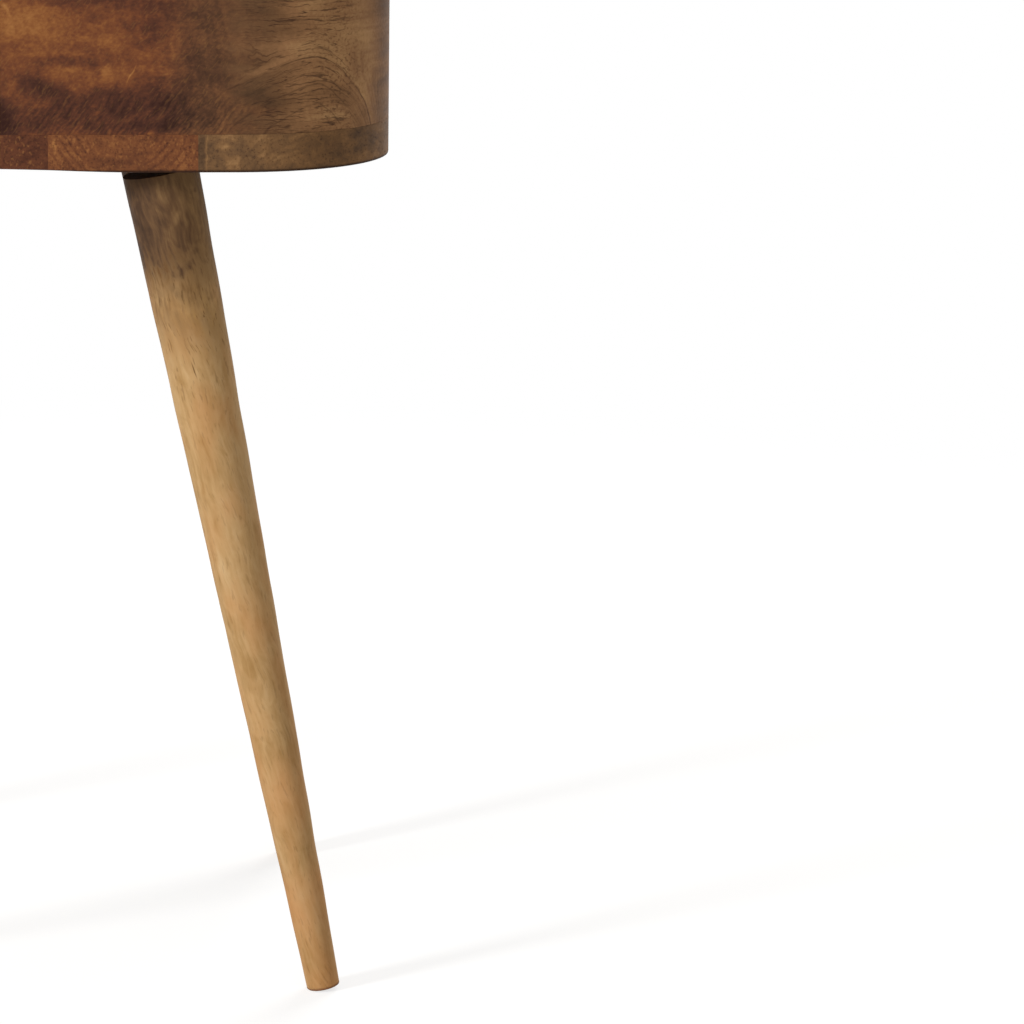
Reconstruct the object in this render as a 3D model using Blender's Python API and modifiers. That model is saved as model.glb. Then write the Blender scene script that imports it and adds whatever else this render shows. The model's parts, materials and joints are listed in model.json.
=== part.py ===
# Nightstand: a solid wood carcass with rounded corners and one drawer, on four splayed
# turned legs. Metres, +Z up. The origin lies on the floor under the middle of the carcass.
# The drawer opens towards -Y, and the plain back panel faces +Y.
import math

import bmesh
import bpy
from mathutils import Matrix, Vector

# Carcass
body_width = 0.450
body_depth = 0.350
underside_height = 0.460
board_thickness = 0.020
wall_height = 0.120
wall_thickness = 0.020
corner_radius = 0.085
corner_segments = 20
post_tail = 0.0145            # straight run of a corner post beyond its curve
outer_stave_width = 0.1068
second_stave_width = 0.0782
base_arris = 0.0010
top_arris = 0.0025
arris_segments = 2

# Clearances
glue_gap = 0.0003             # between pieces that touch
drawer_reveal = 0.0015        # around the drawer front
drawer_side_clearance = 0.0075
drawer_running_gap = 0.0006
kicker_clearance = 0.0010
overrun = 0.010               # how far a cutter reaches past what it cuts

# Legs
leg_top_inset = 0.125         # from the side of the carcass to the leg's axis at its top
leg_face_inset = 0.041        # from the front or back to the leg's axis
leg_splay = math.radians(11.1)
leg_top_radius = 0.0205
leg_foot_radius = 0.009
leg_sides = 48
foot_wear = 0.0004            # the flat that standing wears on the inner edge of the foot

# Leg fixings
bolt_radius = 0.004
bolt_in_leg = 0.025
insert_radius = 0.006
insert_length = 0.012
insert_recess = 0.0005        # of the insert's lowest edge above the board's underside
hole_end_room = 0.001         # left beyond the end of a bolt or an insert
fixing_sides = 16

# Dowels between the corner posts and the boards
dowel_radius = 0.004
dowel_in_board = 0.012
dowel_in_post = 0.015
dowel_sides = 12
dowel_turn_share = 0.5        # of the quarter turn of a corner

# Drawer
drawer_side_thickness = 0.012
drawer_bottom_thickness = 0.006
drawer_bottom_height = 0.010  # above the lower edge of the drawer's sides
groove_depth = 0.005
back_height_drop = 0.008      # the drawer's back is lower than its sides
notch_width = 0.080
notch_depth = 0.020
notch_sides = 64

# Runners, guides, kickers and stop
runner_height = 0.008
runner_inner_reach = 0.002    # of the runner past the inner face of the drawer's side
guide_width = 0.012
guide_height = 0.020
kicker_height = 0.008
stop_half_width = 0.030
stop_depth = 0.019            # from the drawer's back to the back panel
stop_height = 0.035

# Screws through the runners and kickers
screw_head_radius = 0.0035
screw_shank_radius = 0.00175
screw_length = 0.018
screw_head_height = 0.0025
screw_sink = 0.0004
screw_end_inset = 0.040       # from the end of a runner to its screw
screw_sides = 12

# Heights and half sizes that follow from the sizes above
half_width = body_width / 2
half_depth = body_depth / 2
post_run = corner_radius + post_tail
base_top = underside_height + board_thickness
wall_top = base_top + wall_height
body_top = wall_top + board_thickness
opening_half = half_width - post_run
inner_face = half_depth - wall_thickness
runner_top = base_top + glue_gap + runner_height
kicker_bottom = wall_top - glue_gap - kicker_height
drawer_side_half = opening_half - drawer_side_clearance
drawer_inner_half = drawer_side_half - drawer_side_thickness
drawer_front_inner = -half_depth + wall_thickness
drawer_box_start = drawer_front_inner + glue_gap
drawer_box_end = inner_face - glue_gap - stop_depth - glue_gap
drawer_low = runner_top + glue_gap
drawer_high = kicker_bottom - kicker_clearance
bottom_low = drawer_low + drawer_bottom_height
bottom_high = bottom_low + drawer_bottom_thickness
leg_top_x = half_width - leg_top_inset
leg_y = half_depth - leg_face_inset
leg_top_z = underside_height - glue_gap - leg_top_radius * math.sin(leg_splay)
leg_foot_z = leg_foot_radius * math.sin(leg_splay) - foot_wear
leg_length = (leg_top_z - leg_foot_z) / math.cos(leg_splay)
wedge_height = underside_height - leg_top_z + insert_radius * math.sin(leg_splay)
insert_start = (wedge_height + insert_recess) / math.cos(leg_splay)   # above the leg's top
insert_end = insert_start + insert_length

# Which way each corner lies from the middle
corners = {
    "front_left": (-1, -1),
    "front_right": (1, -1),
    "back_left": (-1, 1),
    "back_right": (1, 1),
}
sides = {"left": -1, "right": 1}


def clear_scene():
    for old in list(bpy.data.objects):
        bpy.data.objects.remove(old, do_unlink=True)


def make_collection(name):
    group = bpy.data.collections.new(name)
    bpy.context.scene.collection.children.link(group)
    return group


def make_material(name, colour, roughness, metallic=0.0):
    material = bpy.data.materials.new(name)
    material.use_nodes = True
    shader = material.node_tree.nodes["Principled BSDF"]
    shader.inputs["Base Color"].default_value = (*colour, 1.0)
    shader.inputs["Roughness"].default_value = roughness
    shader.inputs["Metallic"].default_value = metallic
    material.diffuse_color = (*colour, 1.0)
    return material


def add_object(name, bm, group, finish=None, place=(0, 0, 0), parent=None):
    bmesh.ops.recalc_face_normals(bm, faces=bm.faces)
    mesh = bpy.data.meshes.new(name)
    bm.to_mesh(mesh)
    bm.free()
    piece = bpy.data.objects.new(name, mesh)
    group.objects.link(piece)
    piece.location = Vector(place)
    if parent is not None:
        piece.parent = parent
        piece.location = Vector(place) - parent.location
    if finish is not None:
        mesh.materials.append(make_material(name, *finish))
    return piece


def box(name, low, high, group, finish=None, parent=None):
    low = Vector(low)
    high = Vector(high)
    bm = bmesh.new()
    bmesh.ops.create_cube(bm, size=1, matrix=Matrix.Diagonal((*(high - low), 1)))
    return add_object(name, bm, group, finish, (low + high) / 2, parent)


def cut(piece, cutters):
    # cutters is an object or a whole collection
    modifier = piece.modifiers.new("cut", "BOOLEAN")
    modifier.operation = "DIFFERENCE"
    modifier.solver = "EXACT"
    if isinstance(cutters, bpy.types.Collection):
        modifier.operand_type = "COLLECTION"
        modifier.collection = cutters
    else:
        modifier.object = cutters


def hide_cutter(piece):
    piece.hide_render = True
    piece.display_type = "WIRE"
    return piece


def shade_round(piece, angle=math.radians(30)):
    piece.data.shade_smooth()
    piece.data.set_sharp_from_angle(angle=angle)


def round_bar(bm, radius, start, end, segments):
    # A cylinder between two points
    start = Vector(start)
    end = Vector(end)
    turn = (end - start).to_track_quat("Z", "Y").to_matrix().to_4x4()
    bmesh.ops.create_cone(
        bm, cap_ends=True, segments=segments, radius1=radius, radius2=radius,
        depth=(end - start).length, matrix=Matrix.Translation((start + end) / 2) @ turn)


def bar_pieces(prefix, lines, radius, segments, finish):
    # One round piece on each line
    pieces = []
    for name, start, end in lines:
        bm = bmesh.new()
        round_bar(bm, radius, start, end, segments)
        piece = add_object(f"{prefix}_{name}", bm, parts, finish)
        shade_round(piece)
        pieces.append(piece)
    return pieces


def bar_cutter(name, lines, radius, segments, group):
    # One cutter that holds a round bar on each line
    bm = bmesh.new()
    for _, start, end in lines:
        round_bar(bm, radius, start, end, segments)
    return hide_cutter(add_object(name, bm, group))


# Boards: a rounded slab with one eased arris, sawn into staves that run front to back

def rounded_slab(low_z, high_z, arris, arris_z):
    bm = bmesh.new()
    size = (body_width, body_depth, high_z - low_z)
    place = Matrix.Translation((0, 0, (low_z + high_z) / 2))
    bmesh.ops.create_cube(bm, size=1, matrix=place @ Matrix.Diagonal((*size, 1)))
    upright = [e for e in bm.edges
               if abs(e.verts[0].co.z - e.verts[1].co.z) > (high_z - low_z) / 2]
    bmesh.ops.bevel(bm, geom=upright, offset=corner_radius, segments=corner_segments,
                    profile=0.5, affect="EDGES", clamp_overlap=False)
    rim = [e for e in bm.edges if all(abs(v.co.z - arris_z) < glue_gap for v in e.verts)]
    bmesh.ops.bevel(bm, geom=rim, offset=arris, segments=arris_segments,
                    profile=0.5, affect="EDGES", clamp_overlap=False)
    return bm


def saw(bm, x, keep_right):
    everything = bm.verts[:] + bm.edges[:] + bm.faces[:]
    bmesh.ops.bisect_plane(bm, geom=everything, plane_co=(x, 0, 0), plane_no=(1, 0, 0),
                           clear_inner=keep_right, clear_outer=not keep_right)
    rim = [e for e in bm.edges if e.is_boundary]
    bmesh.ops.edgeloop_fill(bm, edges=rim)


def make_board(prefix, low_z, high_z, arris, arris_z, colours, cutters):
    outer_joint = half_width - outer_stave_width
    inner_joint = outer_joint - second_stave_width
    joints = (-outer_joint, -inner_joint, inner_joint, outer_joint)
    slab = rounded_slab(low_z, high_z, arris, arris_z)
    for number, colour in enumerate(colours, start=1):
        stave = slab.copy()
        if number > 1:
            saw(stave, joints[number - 2] + glue_gap / 2, keep_right=True)
        if number <= len(joints):
            saw(stave, joints[number - 1] - glue_gap / 2, keep_right=False)
        piece = add_object(f"{prefix}_stave_{number}", stave, parts, (colour, 0.42))
        cut(piece, cutters)
    slab.free()


# Carcass walls

def make_corner_post(name, side_x, side_y, colour):
    # The outer face of the post, from one joint round the curve to the other
    centre = Vector((half_width - corner_radius, half_depth - corner_radius))
    outline = [Vector((opening_half + glue_gap / 2, half_depth))]
    for step in range(corner_segments + 1):
        turn = math.pi / 2 * (1 - step / corner_segments)
        outline.append(centre + corner_radius * Vector((math.cos(turn), math.sin(turn))))
    outline.append(Vector((half_width, half_depth - post_run + glue_gap / 2)))
    bm = bmesh.new()
    low_z = base_top + glue_gap
    corners_low = [bm.verts.new((p.x * side_x, p.y * side_y, low_z)) for p in outline]
    edges = [bm.edges.new(pair) for pair in zip(corners_low, corners_low[1:])]
    raised = bmesh.ops.extrude_edge_only(bm, edges=edges)["geom"]
    lifted = [g for g in raised if isinstance(g, bmesh.types.BMVert)]
    bmesh.ops.translate(bm, verts=lifted, vec=(0, 0, wall_height - 2 * glue_gap))
    bm.normal_update()
    for face in bm.faces:
        middle = face.calc_center_median()
        if face.normal.x * middle.x + face.normal.y * middle.y < 0:
            face.normal_flip()
    mesh = bpy.data.meshes.new(name)
    bm.to_mesh(mesh)
    bm.free()
    post = bpy.data.objects.new(name, mesh)
    parts.objects.link(post)
    mesh.materials.append(make_material(name, colour, 0.42))
    wall = post.modifiers.new("wall", "SOLIDIFY")
    wall.thickness = wall_thickness
    wall.offset = -1
    wall.use_even_offset = True
    cut(post, dowel_holes)
    return post


def make_walls():
    low_z = base_top + glue_gap
    high_z = wall_top - glue_gap
    panel_half = opening_half - glue_gap / 2
    box("back_panel", (-panel_half, inner_face, low_z), (panel_half, half_depth, high_z),
        parts, ((0.20, 0.085, 0.035), 0.42))
    side_half = half_depth - post_run - glue_gap / 2
    outer = half_width
    inner = half_width - wall_thickness
    for name, side in sides.items():
        ends = sorted((side * inner, side * outer))
        box(f"side_panel_{name}", (ends[0], -side_half, low_z), (ends[1], side_half, high_z),
            parts, ((0.18, 0.08, 0.035), 0.42))


# A dowel stands on the middle line of each post's curved wall, at both of its ends

def dowel_lines(end_room=0):
    reach = corner_radius - wall_thickness / 2
    turn = dowel_turn_share * math.pi / 2
    for corner, (side_x, side_y) in corners.items():
        x = side_x * (half_width - corner_radius + reach * math.cos(turn))
        y = side_y * (half_depth - corner_radius + reach * math.sin(turn))
        for level, joint_z, up in (("base", base_top, 1), ("top", wall_top, -1)):
            in_board = joint_z - up * (dowel_in_board + end_room)
            in_post = joint_z + up * (dowel_in_post + end_room)
            yield f"{level}_{corner}", (x, y, in_board), (x, y, in_post)


# Legs and their fixings lie on the same slanted line

def leg_matrix(side_x, side_y):
    place = Matrix.Translation((side_x * leg_top_x, side_y * leg_y, leg_top_z))
    return place @ Matrix.Rotation(-side_x * leg_splay, 4, "Y")


def make_leg(name, side_x, side_y, colour):
    frame = leg_matrix(side_x, side_y)
    bm = bmesh.new()
    bmesh.ops.create_cone(bm, cap_ends=True, segments=leg_sides, radius1=leg_foot_radius,
                          radius2=leg_top_radius, depth=leg_length,
                          matrix=Matrix.Translation((0, 0, -leg_length / 2)))
    back = frame.inverted()
    floor_point = back @ Vector((side_x * leg_top_x, side_y * leg_y, 0))
    up = back.to_3x3() @ Vector((0, 0, 1))
    everything = bm.verts[:] + bm.edges[:] + bm.faces[:]
    bmesh.ops.bisect_plane(bm, geom=everything, plane_co=floor_point, plane_no=up,
                           clear_inner=True)
    rim = [e for e in bm.edges if e.is_boundary]
    bmesh.ops.edgeloop_fill(bm, edges=rim)
    leg = add_object(name, bm, parts, (colour, 0.5))
    leg.matrix_world = frame
    shade_round(leg)
    cut(leg, bolt_holes)
    return leg


def leg_lines(low, high):
    # A stretch of each leg's axis, between two distances above the leg's top
    for corner, (side_x, side_y) in corners.items():
        frame = leg_matrix(side_x, side_y)
        yield corner, frame @ Vector((0, 0, low)), frame @ Vector((0, 0, high))


def make_leg_fixings():
    steel = ((0.45, 0.45, 0.46), 0.35, 1.0)
    brass = ((0.55, 0.40, 0.18), 0.35, 1.0)
    bar_pieces("hanger_bolt", leg_lines(-bolt_in_leg, insert_end - hole_end_room),
               bolt_radius, fixing_sides, steel)
    bores = bar_cutter("insert_bores", leg_lines(insert_start - overrun, insert_end + overrun),
                       bolt_radius + glue_gap, fixing_sides, cutters)
    for insert in bar_pieces("threaded_insert", leg_lines(insert_start, insert_end),
                             insert_radius, fixing_sides, brass):
        cut(insert, bores)


# Screws: a countersunk head on a plain shank, pointing along the given direction

def screw_shape(bm, place, direction, clearance=0, lead=0):
    # lead is how far a cutter reaches back above the screw's head
    start = Vector(place)
    way = Vector(direction)
    turn = way.to_track_quat("Z", "Y").to_matrix().to_4x4()
    steps = [(0, screw_head_radius), (screw_head_height, screw_shank_radius),
             (screw_length + clearance, screw_shank_radius)]
    if lead:
        steps.insert(0, (-lead, screw_head_radius))
    rings = []
    for distance, radius in steps:
        ring = bmesh.ops.create_circle(
            bm, segments=screw_sides, radius=radius + clearance,
            matrix=Matrix.Translation(start + way * distance) @ turn)
        rings.append(ring["verts"])
    for low, high in zip(rings, rings[1:]):
        bmesh.ops.bridge_loops(bm, edges=ring_edges(low) + ring_edges(high))
    for ring in (rings[0], rings[-1]):
        bmesh.ops.contextual_create(bm, geom=ring_edges(ring))


def ring_edges(verts):
    members = set(verts)
    return list({e for v in verts for e in v.link_edges
                 if e.verts[0] in members and e.verts[1] in members})


def screw_spots():
    middle_x = drawer_side_half - drawer_side_thickness / 2
    end_y = inner_face - screw_end_inset
    for corner, (side_x, side_y) in corners.items():
        x = side_x * middle_x
        y = side_y * end_y
        yield f"runner_screw_{corner}", (x, y, runner_top - screw_sink), (0, 0, -1)
        yield f"kicker_screw_{corner}", (x, y, kicker_bottom + screw_sink), (0, 0, 1)


# Drawer and what carries it

def make_drawer():
    slide = bpy.data.objects.new("drawer_slide_axis", None)
    slide.location = (0, -half_depth, (drawer_low + drawer_high) / 2)
    parts.objects.link(slide)
    front_half = opening_half - drawer_reveal
    front_low = base_top + drawer_reveal
    front_high = wall_top - drawer_reveal
    inner_wood = ((0.42, 0.27, 0.14), 0.55)
    front = box("drawer_front", (-front_half, -half_depth, front_low),
                (front_half, drawer_front_inner, front_high), parts,
                ((0.20, 0.085, 0.035), 0.42), slide)
    for name, side in sides.items():
        ends = sorted((side * drawer_inner_half, side * drawer_side_half))
        rail = box(f"drawer_side_{name}", (ends[0], drawer_box_start, drawer_low),
                   (ends[1], drawer_box_end, drawer_high), parts, inner_wood, slide)
        cut(rail, bottom_groove)
    box("drawer_back",
        (-drawer_inner_half + glue_gap, drawer_box_end - drawer_side_thickness,
         bottom_high + glue_gap),
        (drawer_inner_half - glue_gap, drawer_box_end, drawer_high - back_height_drop),
        parts, inner_wood, slide)
    box("drawer_bottom",
        (-drawer_inner_half - groove_depth + glue_gap,
         drawer_front_inner - groove_depth + glue_gap, bottom_low),
        (drawer_inner_half + groove_depth - glue_gap, drawer_box_end, bottom_high),
        parts, inner_wood, slide)
    cut(front, bottom_groove)
    cut(front, make_notch_cutter(front_high))


def make_groove_cutter():
    reach = drawer_inner_half + groove_depth
    return hide_cutter(box(
        "groove_cutter",
        (-reach, drawer_front_inner - groove_depth, bottom_low - glue_gap),
        (reach, drawer_box_end + overrun, bottom_high + glue_gap), cutters))


def make_notch_cutter(front_high):
    # A shallow arc for the fingers, from its width and depth
    radius = (notch_width ** 2 / 4 + notch_depth ** 2) / (2 * notch_depth)
    centre_z = front_high - notch_depth + radius
    bm = bmesh.new()
    round_bar(bm, radius, (0, -half_depth - overrun, centre_z),
              (0, drawer_front_inner + overrun, centre_z), notch_sides)
    return hide_cutter(add_object("notch_cutter", bm, cutters))


def make_runners():
    finish = ((0.45, 0.31, 0.18), 0.6)
    start = -inner_face + glue_gap
    end = inner_face - glue_gap
    inner = drawer_inner_half - runner_inner_reach
    guide_inner = drawer_side_half + drawer_running_gap
    outer = guide_inner + guide_width
    for name, side in sides.items():
        low_x, high_x = sorted((side * inner, side * outer))
        runner = box(f"drawer_runner_{name}", (low_x, start, base_top + glue_gap),
                     (high_x, end, runner_top), parts, finish)
        kicker = box(f"drawer_kicker_{name}", (low_x, start, kicker_bottom),
                     (high_x, end, wall_top - glue_gap), parts, finish)
        cut(runner, screw_holes)
        cut(kicker, screw_holes)
        guide_low, guide_high = sorted((side * guide_inner, side * outer))
        box(f"drawer_guide_{name}", (guide_low, start, runner_top + glue_gap),
            (guide_high, end, runner_top + glue_gap + guide_height), parts, finish)
    box("drawer_stop", (-stop_half_width, drawer_box_end + glue_gap, base_top + glue_gap),
        (stop_half_width, inner_face - glue_gap, base_top + glue_gap + stop_height),
        parts, finish)


clear_scene()
parts = make_collection("nightstand")
cutters = make_collection("cutters")
board_cutters = make_collection("board_cutters")

# Cutters that several pieces share
dowel_holes = bar_cutter("dowel_holes", dowel_lines(glue_gap), dowel_radius + glue_gap,
                         dowel_sides, board_cutters)
insert_holes = bar_cutter("insert_holes", leg_lines(-overrun, insert_end + hole_end_room),
                          insert_radius + glue_gap, fixing_sides, board_cutters)
bolt_holes = bar_cutter("bolt_holes", leg_lines(-bolt_in_leg - hole_end_room, overrun),
                        bolt_radius + glue_gap, fixing_sides, cutters)
hole_mesh = bmesh.new()
for _, place, direction in screw_spots():
    screw_shape(hole_mesh, place, direction, clearance=glue_gap, lead=overrun)
screw_holes = hide_cutter(add_object("screw_holes", hole_mesh, board_cutters))
bottom_groove = make_groove_cutter()

# Wooden boards and walls
base_colours = ((0.17, 0.09, 0.045), (0.24, 0.10, 0.045), (0.15, 0.06, 0.035),
                (0.22, 0.10, 0.05), (0.16, 0.09, 0.045))
top_colours = ((0.19, 0.09, 0.045), (0.17, 0.08, 0.04), (0.22, 0.10, 0.045),
               (0.18, 0.08, 0.04), (0.20, 0.09, 0.045))
make_board("base", underside_height, base_top, base_arris, underside_height,
           base_colours, board_cutters)
make_board("top", wall_top, body_top, top_arris, body_top, top_colours, board_cutters)
for corner, (side_x, side_y) in corners.items():
    make_corner_post(f"corner_post_{corner}", side_x, side_y, (0.15, 0.085, 0.045))
make_walls()

# Dowels
bar_pieces("dowel", dowel_lines(), dowel_radius, dowel_sides, ((0.55, 0.38, 0.20), 0.6))

# Legs
for corner, (side_x, side_y) in corners.items():
    make_leg(f"leg_{corner}", side_x, side_y, (0.45, 0.27, 0.12))
make_leg_fixings()

# Drawer
make_drawer()
make_runners()
for name, place, direction in screw_spots():
    screw_mesh = bmesh.new()
    screw_shape(screw_mesh, place, direction)
    shade_round(add_object(name, screw_mesh, parts, ((0.55, 0.52, 0.45), 0.35, 1.0)))
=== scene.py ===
# Nightstand: a stained mango wood carcass with rounded corners and a drawer, on four
# splayed turned legs. Everything is in metres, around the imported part.
import json
import math
import random

import bmesh
import bpy
from mathutils import Matrix, Quaternion, Vector, noise

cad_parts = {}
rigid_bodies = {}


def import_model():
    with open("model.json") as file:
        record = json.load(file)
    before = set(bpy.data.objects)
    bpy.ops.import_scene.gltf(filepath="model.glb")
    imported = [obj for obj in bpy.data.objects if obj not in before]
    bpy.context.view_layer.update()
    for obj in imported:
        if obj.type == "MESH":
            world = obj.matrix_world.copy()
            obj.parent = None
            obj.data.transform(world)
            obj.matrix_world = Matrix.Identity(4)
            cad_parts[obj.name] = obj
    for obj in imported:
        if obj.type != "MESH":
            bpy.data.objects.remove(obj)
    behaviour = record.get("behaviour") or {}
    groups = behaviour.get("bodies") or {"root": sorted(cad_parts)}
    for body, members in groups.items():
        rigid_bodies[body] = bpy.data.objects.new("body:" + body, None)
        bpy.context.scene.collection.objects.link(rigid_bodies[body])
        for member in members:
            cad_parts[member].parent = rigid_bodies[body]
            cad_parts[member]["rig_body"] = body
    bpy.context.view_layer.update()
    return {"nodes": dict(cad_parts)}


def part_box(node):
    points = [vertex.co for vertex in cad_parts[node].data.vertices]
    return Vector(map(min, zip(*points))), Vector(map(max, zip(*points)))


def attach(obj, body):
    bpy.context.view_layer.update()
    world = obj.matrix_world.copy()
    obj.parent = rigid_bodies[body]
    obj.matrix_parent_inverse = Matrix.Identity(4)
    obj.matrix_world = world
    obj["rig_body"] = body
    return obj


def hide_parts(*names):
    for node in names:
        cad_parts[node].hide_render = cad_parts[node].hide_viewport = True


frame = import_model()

scene = bpy.context.scene
nodes = frame["nodes"]

# Shared sizes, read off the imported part
halfWidth, halfDepth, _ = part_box("top_stave_5")[1]
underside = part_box("base_stave_3")[0].z
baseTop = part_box("base_stave_3")[1].z
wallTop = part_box("top_stave_3")[0].z
cornerRadius = 0.085
coreX = halfWidth - cornerRadius      # where the straight runs meet the curves
coreY = halfDepth - cornerRadius
quarter = cornerRadius * math.pi / 2  # the length of one curve
glueGap = 0.0003
mergeReach = 0.00001                  # points nearer than this are one point
sharpTurn = math.radians(38)          # a sharper edge isn't shaded smooth


# Node helpers

def linear(colour):
    # "#875932" as it reads on screen, to the values that a socket takes
    shares = [int(colour[i:i + 2], 16) / 255 for i in (1, 3, 5)]
    return tuple(s / 12.92 if s <= 0.04045 else ((s + 0.055) / 1.055) ** 2.4
                 for s in shares) + (1.0,)


def put(tree, kind, sockets=None, **settings):
    # Adds a node and fills its sockets with values or links
    node = tree.nodes.new("ShaderNode" + kind)
    for key, value in settings.items():
        setattr(node, key, value)
    for key, value in (sockets or {}).items():
        if isinstance(value, bpy.types.NodeSocket):
            tree.links.new(value, node.inputs[key])
        else:
            node.inputs[key].default_value = value
    return node


def calc(tree, operation, *values):
    return put(tree, "Math", dict(enumerate(values)), operation=operation).outputs[0]


def smoothStep(tree, value, low, high):
    return put(tree, "MapRange", {0: value, 1: low, 2: high},
               interpolation_type="SMOOTHSTEP").outputs[0]


def mixColour(tree, factor, first, second):
    first, second = [linear(c) if isinstance(c, str) else c for c in (first, second)]
    return put(tree, "Mix", {0: factor, 6: first, 7: second},
               data_type="RGBA").outputs[2]


def ramp(tree, value, stops):
    node = put(tree, "ValToRGB", {0: value})
    marks = node.color_ramp.elements
    while len(marks) < len(stops):
        marks.new(0.5)
    for mark, (position, colour) in zip(marks, stops):
        mark.position = position
        mark.color = linear(colour)
    return node.outputs[0]


def stretched(tree, place, scale, shift=(0, 0, 0)):
    return put(tree, "VectorMath", {0: place, 1: scale, 2: shift},
               operation="MULTIPLY_ADD").outputs[0]


def cloud(tree, place, scale, shift=(0, 0, 0), detail=2.0, distortion=0.0):
    # Soft noise whose cells are 1/scale metres long on each axis
    return put(tree, "TexNoise", {"Vector": stretched(tree, place, scale, shift), "Scale": 1.0,
                                  "Detail": detail, "Distortion": distortion}).outputs[0]


def wandered(tree, place, scale, amount, shift=(0, 0, 0)):
    # Moves a pattern's place about by soft noise
    wander = put(tree, "TexNoise", {"Vector": stretched(tree, place, (scale,) * 3, shift),
                                    "Scale": 1.0, "Detail": 2.0}).outputs[1]
    centred = put(tree, "VectorMath", {0: wander, 1: (0.5,) * 3}, operation="SUBTRACT").outputs[0]
    return stretched(tree, centred, (amount,) * 3, place)


def turned(tree, place, degrees):
    # Leans a pattern on the unrolled wall
    return put(tree, "Mapping", {0: place, 2: (0, math.radians(degrees), 0)}).outputs[0]


def oval(tree, place, middle, reach, turn=0.0):
    # How far a place is from an oval's middle: 1 on its rim
    local = put(tree, "Mapping", {0: place, 1: (middle[0], 0, middle[1]),
                                  2: (0, math.radians(turn), 0), 3: (reach[0], 10, reach[1])},
                vector_type="TEXTURE").outputs[0]
    return put(tree, "VectorMath", {0: local}, operation="LENGTH").outputs[1]


def spot(tree, place, middle, reach, soft=1.0, turn=0.0):
    # 1 in an oval's middle, 0 past its rim
    return smoothStep(tree, oval(tree, place, middle, reach, turn), 1.0, 1.0 - soft)


def ridge(tree, value, middle, width):
    # 1 where a value crosses its middle, 0 a width away
    away = calc(tree, "ABSOLUTE", calc(tree, "SUBTRACT", value, middle))
    return smoothStep(tree, away, width, 0.0)


def addUp(tree, start, terms):
    # start plus each socket's departure from its own middle, times its amount
    total = start - sum(amount * middle for _, amount, middle in terms)
    for value, amount, _ in terms:
        total = calc(tree, "MULTIPLY_ADD", value, amount, total)
    return total


def makeFinish(name, build, specular=0.3, bump=0.3, depth=0.0004, metallic=0.0):
    # build(tree) returns the sockets of a finish's colour, roughness and height
    material = bpy.data.materials.new(name)
    material.use_nodes = True
    tree = material.node_tree
    shader = tree.nodes["Principled BSDF"]
    shader.inputs["Specular IOR Level"].default_value = specular
    shader.inputs["Metallic"].default_value = metallic
    colour, roughness, height = build(tree)
    tree.links.new(colour, shader.inputs["Base Color"])
    tree.links.new(roughness, shader.inputs["Roughness"])
    relief = put(tree, "Bump", {"Strength": bump, "Distance": depth, "Height": height})
    tree.links.new(relief.outputs[0], shader.inputs["Normal"])
    return material


# Places on the wood, which the finishes read

def wallPlace(point):
    # Distance round the outer face from the middle of the back, depth under it, height
    x, y = abs(point.x), point.y
    if x <= coreX and y > 0:
        along, depth = x, halfDepth - y
    elif x <= coreX:
        along, depth = coreX + 2 * quarter + 2 * coreY + coreX - x, halfDepth + y
    elif abs(y) <= coreY:
        along, depth = coreX + quarter + coreY - y, halfWidth - x
    elif y > 0:
        turn = math.atan2(x - coreX, y - coreY)
        along = coreX + cornerRadius * turn
        depth = cornerRadius - math.hypot(x - coreX, y - coreY)
    else:
        turn = math.atan2(-y - coreY, x - coreX)
        along = coreX + quarter + 2 * coreY + cornerRadius * turn
        depth = cornerRadius - math.hypot(x - coreX, -y - coreY)
    return Vector((along if point.x <= 0 else -along, depth, point.z))


def frontPlace(point):
    # The same for pieces that cross the middle of the front
    return Vector((2 * coreX + 2 * quarter + 2 * coreY + point.x, halfDepth + point.y, point.z))


# Piece helpers

def mergedCopy(name):
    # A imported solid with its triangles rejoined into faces
    bm = bmesh.new()
    bm.from_mesh(nodes[name].data)
    bmesh.ops.remove_doubles(bm, verts=bm.verts, dist=mergeReach)
    bmesh.ops.dissolve_limit(bm, angle_limit=math.radians(0.5), verts=bm.verts, edges=bm.edges)
    return bm


def closeJoints(bm, axis, joints):
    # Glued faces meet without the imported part's gap
    for vert in bm.verts:
        for joint in joints:
            if abs(vert.co[axis] - joint) < 1.5 * glueGap:
                vert.co[axis] = joint


def ease(bm, width, chosen, segments=2):
    edges = [e for e in bm.edges if len(e.link_faces) == 2
             and e.calc_face_angle() > math.radians(40) and chosen(e)]
    bmesh.ops.bevel(bm, geom=edges, offset=width, segments=segments, profile=0.5,
                    affect="EDGES", material=-1, clamp_overlap=True)


def addPiece(name, bm, body, finish, stands=(), place=wallPlace):
    for face in bm.faces:
        face.smooth = True
    for edge in bm.edges:
        edge.smooth = edge.calc_face_angle(4) < sharpTurn
    mesh = bpy.data.meshes.new(name)
    bm.to_mesh(mesh)
    bm.free()
    spots = mesh.attributes.new("woodPlace", "FLOAT_VECTOR", "POINT")
    spots.data.foreach_set("vector", [c for v in mesh.vertices for c in place(v.co)])
    mesh.materials.append(finish)
    piece = bpy.data.objects.new(name, mesh)
    scene.collection.objects.link(piece)
    even = piece.modifiers.new("evenShading", "WEIGHTED_NORMAL")
    even.keep_sharp = True
    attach(piece, body)
    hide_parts(*stands)
    return piece


# Walls: posts, panels and drawer front, stained mango with a satin cross figure

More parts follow.
